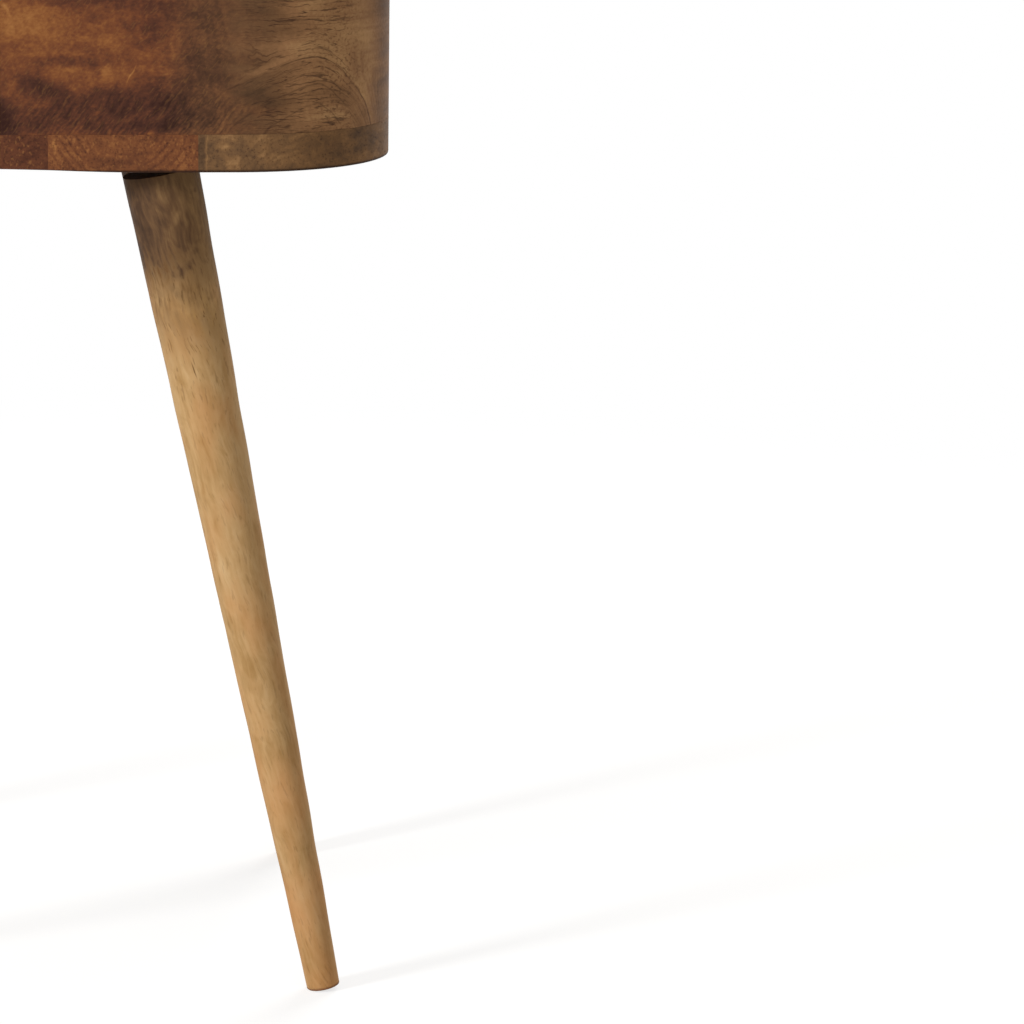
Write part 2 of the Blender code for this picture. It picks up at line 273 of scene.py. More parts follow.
wall = {
    "arris": 0.0002,
    "frontArris": 0.0008,
    "specular": 0.055,
    "postJoint": 0.1255,     # from the middle of the back to a corner post
    "sideJoint": 0.0755,
    "chestnut": ((0.0, "#341E19"), (0.18, "#442A22"), (0.36, "#583527"), (0.52, "#70432B"),
                 (0.68, "#865531"), (0.85, "#98673B"), (1.0, "#AB7A4B")),
    "olive": ((0.0, "#35271D"), (0.25, "#523C2A"), (0.5, "#705137"), (0.75, "#926C4A"),
              (1.0, "#B28B60")),
    "pore": "#33211A",
    "fleck": "#A67843",
    "dull": 0.6, "dullReach": 0.034, "dullShade": 0.10,
    "archRise": 0.040, "archLong": 0.080, "archShort": 0.042, "archPower": 1.35,
    "arcs": ((1.0, 0.72), (0.64, 0.42), (0.38, 0.42)),   # reach and strength of each drawn arc
    "arcWidth": 0.019,
}

# Places on the photographed panel: middle, reach, amount, softness, lean
panelMarks = (
    ((0.036, 0.5350), (0.062, 0.0250), 0.15, 1.0, 0),
    ((0.060, 0.5510), (0.100, 0.0070), -0.13, 1.0, 0),
    ((0.016, 0.5480), (0.0014, 0.0120), 0.16, 0.9, -40),
    ((0.0725, 0.5310), (0.0075, 0.0120), 0.12, 1.0, -30),
    ((0.047, 0.5178), (0.030, 0.0046), -0.20, 0.8, 0),
    ((0.040, 0.5040), (0.021, 0.0125), -0.30, 1.0, 35),
    ((0.084, 0.5125), (0.036, 0.0066), 0.08, 0.7, 0),
    ((0.0525, 0.5140), (0.0070, 0.0024), 0.14, 0.9, -8),
    ((0.070, 0.5130), (0.0034, 0.0046), 0.13, 0.9, 25),
    ((0.0835, 0.5120), (0.0008, 0.0078), 0.22, 0.8, 24),
    ((0.083, 0.4925), (0.056, 0.0160), -0.26, 0.5, 0),
    ((0.114, 0.5050), (0.011, 0.0085), -0.17, 1.0, 0),
    ((0.070, 0.4895), (0.010, 0.0060), 0.10, 1.0, 20),
    ((0.008, 0.4910), (0.030, 0.0180), -0.40, 0.8, 30),
    ((0.037, 0.4880), (0.014, 0.0095), -0.24, 1.0, 20),
    ((0.1165, 0.5215), (0.0095, 0.0085), -0.13, 0.8, 0),
    ((0.1060, 0.5270), (0.0042, 0.0110), 0.13, 0.5, 6),
    ((0.030, 0.5070), (0.016, 0.0110), -0.15, 1.0, 20),
    ((0.018, 0.4850), (0.034, 0.0080), -0.09, 1.0, 0),
    ((0.094, 0.5340), (0.018, 0.0180), -0.16, 1.0, -20),
    ((0.120, 0.5440), (0.022, 0.0140), -0.14, 1.0, 0),
    ((0.127, 0.5140), (0.024, 0.0160), -0.17, 1.0, 0),
    ((0.012, 0.5010), (0.024, 0.0100), -0.18, 1.0, 15),
    ((0.100, 0.4835), (0.028, 0.0055), -0.17, 1.0, 0),
    ((0.119, 0.4945), (0.013, 0.0085), 0.13, 1.0, 30),
    ((0.040, 0.5830), (0.070, 0.0120), -0.16, 1.0, 4),
    ((0.095, 0.5730), (0.050, 0.0100), 0.12, 1.0, -6),
)
panelStreaks = ((0.085, 0.4885), (0.085, 0.0190))

# Places on a post, from its joint: middle, reach, amount
postSpots = (
    ((0.047, 0.525), (0.034, 0.010), 0.06),
    ((0.066, 0.488), (0.030, 0.0085), 0.24),
    ((0.012, 0.516), (0.018, 0.0120), -0.12),
    ((0.086, 0.514), (0.015, 0.0220), -0.22),
    ((0.012, 0.486), (0.014, 0.0090), -0.10),
    ((0.030, 0.497), (0.024, 0.0130), -0.12),
)


def chanceMarks(seed, low, high):
    # Marks of the same kind for a wall that the photograph doesn't show
    chance = random.Random(seed)
    return tuple(((chance.uniform(low, high), chance.uniform(baseTop, wallTop)),
                  (chance.uniform(0.020, 0.060), chance.uniform(0.008, 0.024)),
                  chance.choice((-0.22, -0.16, 0.10, 0.16)), 1.0, chance.uniform(-12, 12))
                 for _ in range(max(4, round((high - low) * 40))))


def panelColour(tree, flat, seed, marks, streakZone, span):
    # The cross figure of one panel: its colour, and the patterns that its relief follows.
    # Towards the joints, which are the ends of its span, it turns a little olive.
    shift = (seed * 3.1, seed * 1.7, seed * 2.3)
    soft = wandered(tree, flat, 90, 0.007, shift)
    lean = turned(tree, wandered(tree, flat, 90, 0.004, shift), 52)
    zone = spot(tree, soft, *streakZone, 0.6)
    broad = cloud(tree, soft, (15, 15, 45), shift, 3)
    figure = cloud(tree, soft, (60, 60, 130), shift, 4, 0.9)
    satin = cloud(tree, turned(tree, flat, -78), (60, 60, 330), shift, 3)
    streaks = cloud(tree, lean, (125, 125, 700), shift, 3)
    pores = cloud(tree, flat, (520, 300, 760), shift, 2)
    leaning = calc(tree, "MULTIPLY", calc(tree, "SUBTRACT", streaks, 0.5),
                   calc(tree, "MULTIPLY_ADD", zone, 0.55, 0.16))
    terms = [(broad, 0.42, 0.5), (figure, 0.46, 0.5), (satin, 0.26, 0.5),
             (leaning, 1.0, 0.0), (pores, 0.34, 0.5)]
    terms += [(spot(tree, soft, middle, reach, gentle, turn), amount, 0)
              for middle, reach, amount, gentle, turn in marks]
    tone = addUp(tree, 0.50, terms)
    colour = ramp(tree, tone, wall["chestnut"])
    if span:
        middle, half = (span[0] + span[1]) / 2, (span[1] - span[0]) / 2
        along = put(tree, "SeparateXYZ", {0: soft}).outputs[0]
        away = calc(tree, "ABSOLUTE", calc(tree, "SUBTRACT", along, middle))
        dull = smoothStep(tree, away, half - wall["dullReach"], half)
        shaded = calc(tree, "SUBTRACT", tone, wall["dullShade"])
        colour = mixColour(tree, calc(tree, "MULTIPLY", dull, wall["dull"]), colour,
                           ramp(tree, shaded, wall["olive"]))
    flecks = smoothStep(tree, cloud(tree, lean, (240, 240, 1000), shift, 1), 0.56, 0.72)
    flecks = calc(tree, "MULTIPLY", flecks, calc(tree, "MULTIPLY_ADD", zone, -0.02, 0.12))
    colour = mixColour(tree, flecks, colour, wall["fleck"])
    return colour, broad, satin, pores


def makePanelFinish(name, *figure):
    def build(tree):
        flat = put(tree, "Attribute", attribute_name="woodPlace").outputs["Vector"]
        colour, broad, satin, pores = panelColour(tree, flat, *figure)
        rough = addUp(tree, 0.50, [(broad, 0.2, 0.5), (satin, 0.12, 0.5), (pores, -0.2, 0.5)])
        height = addUp(tree, 0.5, [(pores, 0.4, 0.5), (satin, 0.3, 0.5)])
        return colour, rough, height

    return makeFinish(name, build, specular=wall["specular"])


def archDistance(tree, place, middle):
    # How far a place is from an arch's middle: 1 on the arch, whose side towards the panel
    # is the longer one
    along, _, up = put(tree, "SeparateXYZ", {0: place}).outputs
    side = calc(tree, "SUBTRACT", along, middle[0])
    wide = calc(tree, "MAXIMUM", calc(tree, "DIVIDE", side, wall["archShort"]),
                calc(tree, "DIVIDE", side, -wall["archLong"]))
    tall = calc(tree, "DIVIDE", calc(tree, "SUBTRACT", up, middle[1]), wall["archRise"])
    power = wall["archPower"]
    total = calc(tree, "ADD", calc(tree, "POWER", wide, power),
                 calc(tree, "POWER", calc(tree, "ABSOLUTE", tall), power))
    return calc(tree, "POWER", total, 1 / power)


def makePostFinish(name, seed, start, way, arcMiddle, first, last):
    # The figure runs round the corner from the joint at start, to the side that way gives.
    # The panels beside the post, first and last, run on a little over its joints.
    shift = (seed * 2.7, seed * 1.3, seed * 1.9)
    length = coreX + quarter + coreY - wall["postJoint"] - wall["sideJoint"]

    def beside(tree, flat, panel, joint):
        panelSeed, marks, streakZone, span, offset = panel
        near = [m for m in marks if abs(m[0][0] - joint - offset) < m[1][0] + 0.03]
        moved = put(tree, "VectorMath", {0: flat, 1: (offset, 0, 0)}).outputs[0]
        return panelColour(tree, moved, panelSeed, near, streakZone, span)[0]

    def build(tree):
        flat = put(tree, "Attribute", attribute_name="woodPlace").outputs["Vector"]
        local = put(tree, "Mapping", {0: flat, 1: (-start * way, 0, 0),
                                      3: (way, 1, 1)}).outputs[0]
        along, _, up = put(tree, "SeparateXYZ", {0: local}).outputs
        soft = wandered(tree, local, 120, 0.005, shift)
        ringDistance = archDistance(tree, wandered(tree, local, 70, 0.004, shift), arcMiddle)
        # lines bend round the arch where they are near it, and lie level elsewhere
        near = ridge(tree, ringDistance, 1.02, 0.50)
        bow = calc(tree, "MULTIPLY_ADD", ringDistance, wall["archRise"], arcMiddle[1])
        level = calc(tree, "MULTIPLY_ADD", calc(tree, "SUBTRACT", bow, up), near, up)
        ringPlace = put(tree, "CombineXYZ", {0: along, 1: 0.0, 2: level}).outputs[0]
        broad = cloud(tree, soft, (24, 24, 60), shift, 3)
        rings = cloud(tree, ringPlace, (22, 1, 220), shift, 4)
        lines = cloud(tree, wandered(tree, ringPlace, 170, 0.0026, shift), (26, 1, 400), shift, 2)
        dashes = cloud(tree, wandered(tree, ringPlace, 240, 0.0020, shift), (120, 1, 900), shift)
        specks = cloud(tree, soft, (520, 300, 640), shift, 1)
        inner = smoothStep(tree, ringDistance, 1.05, 0.92)
        upper = smoothStep(tree, up, 0.530, 0.541)
        early = smoothStep(tree, along, 0.002, 0.032)
        late = smoothStep(tree, along, 0.096, 0.066)
        tone = addUp(tree, 0.50, [
            (broad, 0.50, 0.5), (rings, 0.52, 0.5), (specks, 0.20, 0.5),
            # lighter wood from 18 mm on, partly painted light that makes up for the lamps'
            # falloff round the curve
            (smoothStep(tree, along, 0.018, 0.056), 0.38, 0.0),
            # darker from 88 mm on: painted shade towards the side, which also damps the grazing
            # reflection there
            (smoothStep(tree, along, 0.088, 0.118), -0.34, 0.0),
            (upper, -0.13, 0.0), (inner, -0.16, 0.0)]
            + [(spot(tree, soft, middle, reach), amount, 0.0)
               for middle, reach, amount in postSpots])
        colour = ramp(tree, tone, wall["olive"])
        drift = cloud(tree, soft, (30, 30, 120), shift, 4)
        joins = addUp(tree, 0.0, [(along, 1.0, 0.0), (drift, 0.060, 0.5)])
        fromFirst = calc(tree, "MULTIPLY", smoothStep(tree, joins, -0.004, 0.036),
                         smoothStep(tree, along, 0.0, 0.012))
        colour = mixColour(tree, fromFirst, beside(tree, flat, first, start), colour)
        fromLast = calc(tree, "MULTIPLY", smoothStep(tree, joins, length + 0.004, length - 0.036),
                        smoothStep(tree, along, length, length - 0.012))
        colour = mixColour(tree, fromLast, beside(tree, flat, last, start + way * length), colour)
        figured = calc(tree, "MULTIPLY", early, late)
        amount = calc(tree, "MULTIPLY", figured, addUp(tree, 0.56, [(inner, 0.16, 0.0),
                                                                    (upper, 0.20, 0.0)]))
        thin = calc(tree, "MULTIPLY", ridge(tree, lines, 0.49, 0.026), amount)
        colour = mixColour(tree, thin, colour, wall["pore"])
        short = calc(tree, "MULTIPLY", smoothStep(tree, dashes, 0.42, 0.28), amount)
        colour = mixColour(tree, calc(tree, "MULTIPLY", short, 0.85), colour, wall["pore"])
        dotted = calc(tree, "MULTIPLY", smoothStep(tree, specks, 0.45, 0.30),
                      spot(tree, soft, (0.072, 0.510), (0.028, 0.080)))
        colour = mixColour(tree, calc(tree, "MULTIPLY", dotted, 0.42), colour, wall["pore"])
        broken = calc(tree, "MULTIPLY", smoothStep(tree, cloud(tree, soft, (70,) * 3, shift, 3),
                                                   0.36, 0.56),
                      smoothStep(tree, along, 0.0, 0.016))
        for reach, strength in wall["arcs"]:
            line = ridge(tree, ringDistance, reach, wall["arcWidth"])
            arc = calc(tree, "MULTIPLY", line, broken)
            colour = mixColour(tree, calc(tree, "MULTIPLY", arc, strength), colour, wall["pore"])
        rough = addUp(tree, 0.50, [(broad, 0.2, 0.5), (specks, -0.2, 0.5)])
        height = addUp(tree, 0.5, [(lines, 0.4, 0.5), (specks, 0.4, 0.5)])
        return colour, rough, height

    return makeFinish(name, build, specular=wall["specular"])


def makeWalls():
    around = 4 * (coreX + quarter + coreY)
    backJoint, frontJoint = wall["postJoint"], around / 2 - wall["postJoint"]
    sides = (around / 4 - wall["sideJoint"], around / 4 + wall["sideJoint"])
    back = (1, panelMarks + chanceMarks(9, -0.12, -0.05), panelStreaks, (-backJoint, backJoint))
    left = (2, chanceMarks(2, 0.27, 0.46), ((0.36, 0.50), (0.09, 0.02)), sides)
    right = (3, chanceMarks(3, -0.46, -0.27), ((-0.34, 0.57), (0.08, 0.03)),
             tuple(-s for s in reversed(sides)))
    front = (8, chanceMarks(8, 0.60, 0.86), ((0.74, 0.515), (0.09, 0.035)), None)
    finishes = {
        "back_panel": makePanelFinish("backPanelWood", *back),
        "side_panel_left": makePanelFinish("leftPanelWood", *left),
        "side_panel_right": makePanelFinish("rightPanelWood", *right),
        "corner_post_back_left": makePostFinish(
            "backLeftPostWood", 4, backJoint, 1, (0.058, 0.480), (*back, 0), (*left, 0)),
        "corner_post_back_right": makePostFinish(
            "backRightPostWood", 5, -backJoint, -1, (0.065, 0.470), (*back, 0), (*right, 0)),
        "corner_post_front_left": makePostFinish(
            "frontLeftPostWood", 6, frontJoint, -1, (0.070, 0.474), (*front, 0), (*left, 0)),
        "corner_post_front_right": makePostFinish(
            "frontRightPostWood", 7, -frontJoint, 1, (0.058, 0.460), (*front, around),
            (*right, 0)),
    }
    for name, finish in finishes.items():
        bm = mergedCopy(name)
        closeJoints(bm, 0, (wall["postJoint"], -wall["postJoint"]))
        closeJoints(bm, 1, (wall["sideJoint"], -wall["sideJoint"]))
        closeJoints(bm, 2, (baseTop, wallTop))
        ease(bm, wall["arris"], lambda e: all(
            wallPlace(v.co).y < glueGap for v in e.verts)
            and abs(e.verts[0].co.z - e.verts[1].co.z) < glueGap)
        addPiece(name.replace("_", "") + "Wood", bm, "carcass", finish, (name,))
    bm = mergedCopy("drawer_front")
    ease(bm, wall["frontArris"], lambda e: all(v.co.z < wallTop for v in e.verts)
         and any(f.normal.y < -0.9 for f in e.link_faces), 3)
    addPiece("drawerFrontWood", bm, "drawer",
             makePanelFinish("drawerFrontFinish", *front), ("drawer_front",), frontPlace)


makeWalls()
print("walls and drawer front made")


# Boards: staves glued side by side, their grain running front to back

board = {
    "joints": (0.1182, 0.0400),
    "seamArris": 0.0002,
    "wander": 0.0005,        # how far hand sanding lifts the lower edge
    "backLift": 0.0021,      # and more of it in the middle of the back
    "backLiftHalf": 0.092,
    "sandStep": 14,          # millimetres between the cuts that let the edge bend
    "sandHeight": 0.004,     # sanding reaches this far up, and this far in
    "sandDepth": 0.0155,
    "sandScale": 22,
    "ringSpacing": 0.0040,
    "squeeze": 0.15,
    "fleck": "#B98049",
    "lowArrisShade": "#281B15",   # painted shade on the lowest arris, which faces the floor
}
staveTones = {
    "reddish": ((0.0, "#361F1B"), (0.35, "#523124"), (0.65, "#653D2A"), (1.0, "#8A5A35")),
    "orange": ((0.0, "#42271B"), (0.3, "#5C3827"), (0.6, "#76492E"), (1.0, "#9C6A3E")),
    "brown": ((0.0, "#3F2F24"), (0.3, "#5D4632"), (0.6, "#7C5C3D"), (1.0, "#A78257")),
    "chestnut": ((0.0, "#3C261C"), (0.35, "#583A28"), (0.65, "#75502D"), (1.0, "#997041")),
}


def makeStaveFinish(name, tones, seed, pith, marks=(), ring=0.24, fleck=0.28):
    # pith is where the growth rings' centre crosses the ends of the stave
    shift = (seed * 1.9, seed * 2.9, seed * 1.1)

    def build(tree):
        flat = put(tree, "Attribute", attribute_name="woodPlace").outputs["Vector"]
        solid = put(tree, "TexCoord").outputs["Object"]
        soft = wandered(tree, flat, 200, 0.003, shift)
        # squeezed front to back about the back edge, so what wanders runs long with the grain
        squeeze = board["squeeze"]
        grain = stretched(tree, solid, (1, squeeze, 1), (0, (1 - squeeze) * halfDepth, 0))
        bent = wandered(tree, wandered(tree, grain, 30, 0.012, shift), 160, 0.003, shift)
        local = put(tree, "Mapping", {0: bent, 1: (pith[0], 0, pith[1]), 3: (1, 100000, 1)},
                    vector_type="TEXTURE").outputs[0]
        ringDistance = put(tree, "VectorMath", {0: local}, operation="LENGTH").outputs[1]
        phase = calc(tree, "MULTIPLY", ringDistance, 2 * math.pi / board["ringSpacing"])
        late = smoothStep(tree, calc(tree, "SINE", phase), 0.0, 1.0)
        patchy = smoothStep(tree, cloud(tree, solid, (60, 20, 60), shift, 2), 0.42, 0.62)
        rings = calc(tree, "MULTIPLY", late, patchy)
        broad = cloud(tree, solid, (38, 9, 70), shift, 3)
        streaks = cloud(tree, bent, (330, 40, 330), shift, 2)
        pores = cloud(tree, solid, (900, 90, 900), shift, 1)
        blotch = cloud(tree, bent, (75, 40, 120), shift, 4, 0.5)
        terms = [(broad, 0.55, 0.5), (rings, -ring, 0.2), (streaks, 0.40, 0.5),
                 (blotch, 0.60, 0.5), (pores, 0.18 + 0.9 * fleck, 0.5)]
        terms += [(spot(tree, soft, middle, reach, gentle), amount, 0)
                  for middle, reach, amount, gentle in marks]
        colour = ramp(tree, addUp(tree, 0.46, terms), staveTones[tones])
        flecks = smoothStep(tree, cloud(tree, solid, (560, 60, 420), shift, 3), 0.54, 0.74)
        colour = mixColour(tree, calc(tree, "MULTIPLY", flecks, fleck), colour, board["fleck"])
        dots = calc(tree, "MULTIPLY", smoothStep(tree, pores, 0.38, 0.27), 0.4)
        colour = mixColour(tree, dots, colour, wall["pore"])
        up = put(tree, "SeparateXYZ", {0: solid}).outputs[2]
        # painted shade: the lowest arris, which faces the floor, is darkened in colour
        low = smoothStep(tree, up, underside + 0.0020, underside + 0.0007)
        colour = mixColour(tree, calc(tree, "MULTIPLY", low, 0.85), colour, board["lowArrisShade"])
        rough = addUp(tree, 0.50, [(broad, 0.2, 0.5), (pores, -0.2, 0.5)])
        height = addUp(tree, 0.5, [(streaks, 0.3, 0.5), (pores, 0.4, 0.5)])
        return colour, rough, height

    return makeFinish(name, build, specular=wall["specular"])


def sandLowerEdge(bm):
    # The lower edge of the base was sanded by hand, so it isn't quite level
    cuts = [(0, x / 1000) for x in range(-210, 211, board["sandStep"])]
    cuts += [(1, y / 1000) for y in range(-161, 162, board["sandStep"])]
    for axis, at in cuts:
        normal = (1, 0, 0) if axis == 0 else (0, 1, 0)
        bmesh.ops.bisect_plane(bm, geom=bm.verts[:] + bm.edges[:] + bm.faces[:],
                               plane_co=Vector(normal) * at, plane_no=normal)
    for vert in bm.verts:
        place = wallPlace(vert.co)
        if vert.co.z > underside + board["sandHeight"] or place.y > board["sandDepth"]:
            continue
        where = Vector((vert.co.x * board["sandScale"], vert.co.y * board["sandScale"], 4))
        lift = board["wander"] * max(0.0, noise.noise(where))
        if vert.co.y > 0:
            near = min(1.0, abs(vert.co.x) / board["backLiftHalf"])
            lift += board["backLift"] * (0.5 + 0.5 * math.cos(math.pi * near))
        fade = 1 - min(1.0, max(0.0, place.y - 0.001) / 0.0145)
        vert.co.z += lift * fade


def makeBoards():
    joints = [j * side for j in board["joints"] for side in (-1, 1)]
    baseWood = (
        ("brown", 11, (-0.175, 0.440), (
            ((0.1198, 0.470), (0.0020, 0.05), -0.16, 0.3),
            ((0.1226, 0.470), (0.0007, 0.02), 0.20, 0.8),
            ((0.1315, 0.4740), (0.0055, 0.0035), 0.28, 0.9),
            ((0.1365, 0.4655), (0.0070, 0.0045), 0.28, 0.9),
            ((0.1340, 0.4780), (0.0120, 0.0020), 0.08, 1.0),
            ((0.1780, 0.4740), (0.0200, 0.0080), -0.08, 1.0),
            ((0.2060, 0.4675), (0.0200, 0.0040), -0.14, 1.0),
            ((0.2120, 0.4765), (0.0120, 0.0050), -0.22, 1.0),
            ((0.2260, 0.4730), (0.0140, 0.0080), -0.16, 1.0)), 0.08, 0.05),
        ("orange", 12, (-0.079, 0.492), (
            ((0.0430, 0.4750), (0.0014, 0.0045), 0.34, 0.9),
            ((0.1120, 0.4670), (0.0070, 0.0130), 0.10, 0.5),
            ((0.0720, 0.4660), (0.0260, 0.0050), -0.15, 1.0),
            ((0.0980, 0.4765), (0.0130, 0.0060), -0.12, 1.0)), 0.19),
        ("reddish", 13, (-0.010, 0.520), (
            ((0.0250, 0.4790), (0.0140, 0.0050), -0.14, 1.0),), 0.16),
        ("orange", 14, (0.060, 0.440), ()),
        ("brown", 15, (0.170, 0.500), ()),
    )
    topWood = (
        ("brown", 21, (-0.180, 0.560), ()), ("chestnut", 22, (-0.070, 0.660), ()),
        ("orange", 23, (0.010, 0.570), ()), ("chestnut", 24, (0.090, 0.560), ()),
        ("brown", 25, (0.160, 0.650), ()),
    )
    for prefix, woods, seam in (("base", baseWood, baseTop), ("top", topWood, wallTop)):
        for number, (tones, seed, *rest) in enumerate(woods, start=1):
            name = f"{prefix}_stave_{number}"
            bm = mergedCopy(name)
            closeJoints(bm, 0, joints)
            ease(bm, board["seamArris"], lambda e: all(
                wallPlace(v.co).y < glueGap and abs(v.co.z - seam) < glueGap for v in e.verts))
            if prefix == "base":
                sandLowerEdge(bm)
            finish = makeStaveFinish(f"{prefix}Stave{number}Wood", tones, seed, *rest)
            addPiece(f"{prefix}Stave{number}", bm, "carcass", finish, (name,))


makeBoards()
print("base and top made")


# Legs: turned by hand, left natural below the stain that runs down from the carcass

leg = {
    "topInset": 0.125, "faceInset": 0.041, "splay": math.radians(11.1),
    "topRadius": 0.0205, "footRadius": 0.009,
    "steps": 112, "rows": 90,
    "arris": 0.0005,
    "wobble": 0.00022,       # how far the turning wanders
    "boltRadius": 0.0043, "boltDepth": 0.026,
    "footSpare": 0.0004,     # turned a little long, then cut level with the floor
    "stainEdge": 0.049,      # how far the stain reaches down the leg
    "grainSlant": 0.11,
    "specular": 0.09,
    "stained": ((0.0, "#2E2218"), (0.3, "#493526"), (0.6, "#644A32"), (1.0, "#8B6C48")),
    "natural": ((0.0, "#795B35"), (0.3, "#9F7B4C"), (0.55, "#B69365"), (0.8, "#C2A277"),
                (1.0, "#CEB087")),
    "warm": "#BC8350",       # the lower leg reads warmer
    "footEdgeShade": "#6A4531",       # painted shade along the edge of the foot, where it meets the floor
    "soaked": "#67492A",
    "crack": "#54391F",
    "split": (0.0041, 0.1055), "splitReach": (0.0005, 0.0072),
}


def makeLegFinish(name, seed, length, darkSide, cracked):
    shift = (seed * 2.1, seed * 3.3, seed * 0.7)

    def build(tree):
        place = put(tree, "Attribute", attribute_name="woodPlace").outputs["Vector"]
        across, _, down = put(tree, "SeparateXYZ", {0: place}).outputs
        # the blank was sawn a little across the grain, so its streaks run off the leg's axis
        slant = put(tree, "CombineXYZ", {0: calc(tree, "MULTIPLY", down, leg["grainSlant"])})
        along = put(tree, "VectorMath", {0: place, 1: slant.outputs[0]}).outputs[0]
        bent = wandered(tree, along, 38, 0.007, shift)
        streaks = cloud(tree, bent, (170, 170, 26), shift, 3)
        fine = cloud(tree, bent, (560, 560, 60), shift, 2)
        broad = cloud(tree, place, (48, 48, 20), shift, 3)
        mottle = cloud(tree, bent, (135, 135, 75), shift, 5, 0.8)
        flecks = cloud(tree, bent, (800, 800, 120), shift, 2)
        tone = addUp(tree, 0.52, [(streaks, 0.40, 0.5), (fine, 0.36, 0.5), (broad, 0.50, 0.5),
                                  (mottle, 0.42, 0.5)])
        natural = ramp(tree, tone, leg["natural"])
        warmth = addUp(tree, 0.08, [(smoothStep(tree, down, 0.26, 0.46), 0.32, 0.0),
                                    (cloud(tree, place, (55, 55, 26), (7, 3, seed)), 1.3, 0.5)])
        natural = mixColour(tree, warmth, natural, leg["warm"])
        stained = ramp(tree, addUp(tree, 0.61, [
            (mottle, 0.85, 0.5), (fine, 0.65, 0.5), (streaks, 0.35, 0.5),
            (calc(tree, "MULTIPLY", across, darkSide), -14.0, 0.0),
            # the top 26 mm is lighter: painted light that offsets the shadow the carcass casts
            # there
            (smoothStep(tree, down, 0.026, 0.0), 0.06, 0.0)]), leg["stained"])
        patches = cloud(tree, along, (120, 120, 110), shift, 4, 0.6)
        edge = addUp(tree, 0.0, [(down, 1.0, 0.0), (mottle, 0.026, 0.5), (patches, 0.040, 0.5),
                                 (fine, 0.016, 0.5), (broad, 0.020, 0.5)])
        soak = smoothStep(tree, edge, leg["stainEdge"] + 0.018, leg["stainEdge"] - 0.008)
        runs = smoothStep(tree, edge, leg["stainEdge"] + 0.070, leg["stainEdge"] + 0.004)
        runs = calc(tree, "MULTIPLY", runs, addUp(tree, 0.52, [
            (mottle, 1.4, 0.5), (patches, 1.4, 0.5), (fine, 1.6, 0.5),
            (calc(tree, "MULTIPLY", across, darkSide), 9.0, 0.0)]))
        colour = mixColour(tree, runs, natural, leg["soaked"])
        marked = calc(tree, "MULTIPLY", smoothStep(tree, flecks, 0.42, 0.30),
                      calc(tree, "MULTIPLY_ADD", smoothStep(tree, down, 0.15, 0.05), 0.40, 0.20))
        colour = mixColour(tree, marked, colour, leg["crack"])
        if cracked:
            splitSide, splitDown = leg["split"]
            split = spot(tree, bent, (splitSide + splitDown * leg["grainSlant"], splitDown),
                         leg["splitReach"], 0.8, 2)
            colour = mixColour(tree, calc(tree, "MULTIPLY", split, 0.75), colour, leg["crack"])
        colour = mixColour(tree, soak, colour, stained)
        # painted shade: the last 2 mm of the foot, next to the floor, is darkened
        footShadeMask = smoothStep(tree, addUp(tree, 0.0, [(down, 1.0, 0.0), (fine, 0.0012, 0.5)]),
                            length - 0.0020, length - 0.0006)
        colour = mixColour(tree, calc(tree, "MULTIPLY", footShadeMask, 0.75), colour, leg["footEdgeShade"])
        rough = addUp(tree, 0.60, [(streaks, 0.25, 0.5), (fine, 0.2, 0.5)])
        height = addUp(tree, 0.5, [(streaks, 0.4, 0.5), (fine, 0.5, 0.5)])
        return colour, rough, height

    return makeFinish(name, build, specular=leg["specular"], bump=0.35)


def makeLeg(corner, sideX, sideY, seed):
    topZ = underside - glueGap - leg["topRadius"] * math.sin(leg["splay"])
    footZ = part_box(f"leg_{corner}")[0].z
    drop = topZ - leg["footRadius"] * math.sin(leg["splay"]) + leg["footSpare"]
    lengthDown = drop / math.cos(leg["splay"])
    top, foot, arris = leg["topRadius"], leg["footRadius"], leg["arris"]
    bm = bmesh.new()
    profile = [(0, -leg["boltDepth"]), (leg["boltRadius"], -leg["boltDepth"]),
               (leg["boltRadius"], 0), (top - arris, 0), (top - arris * 0.3, -arris * 0.3)]
    for row in range(leg["rows"] + 1):
        share = row / leg["rows"]
        z = -arris - (lengthDown - 2 * arris) * share
        profile.append((top + (foot - top) * -z / lengthDown, z))
    profile += [(foot - arris * 0.3, -lengthDown + arris * 0.3),
                (foot - arris, -lengthDown), (0, -lengthDown)]
    points = [bm.verts.new((r, 0, z)) for r, z in profile]
    line = [bm.edges.new(pair) for pair in zip(points, points[1:])]
    bmesh.ops.spin(bm, geom=points + line, cent=(0, 0, 0), axis=(0, 0, 1),
                   angle=2 * math.pi, steps=leg["steps"], use_merge=True)
    bmesh.ops.remove_doubles(bm, verts=bm.verts, dist=mergeReach)
    bmesh.ops.recalc_face_normals(bm, faces=bm.faces)
    for vert in bm.verts:
        around = Vector((vert.co.x, vert.co.y, 0))
        if around.length > leg["boltRadius"] * 1.2:
            where = Vector((around.x * 60, around.y * 60, vert.co.z * 34 + seed * 7))
            around *= leg["wobble"] * noise.noise(where) * 2 / around.length
            vert.co += around
    place = Matrix.Translation((sideX * (halfWidth - leg["topInset"]),
                                sideY * (halfDepth - leg["faceInset"]), topZ))
    frameMatrix = place @ Matrix.Rotation(-sideX * leg["splay"], 4, "Y")
    bmesh.ops.transform(bm, matrix=frameMatrix, verts=bm.verts)
    for vert in bm.verts:
        vert.co.z = max(vert.co.z, footZ)
    back = frameMatrix.inverted()

    def legPlace(point):
        local = back @ point
        return Vector((local.x, local.y, -local.z))

    addPiece(f"leg_{corner}_turned", bm, "carcass",
             makeLegFinish(f"leg_{corner}_wood", seed, lengthDown, -sideX,
                           corner == "back_left"),
             (f"leg_{corner}",), legPlace)


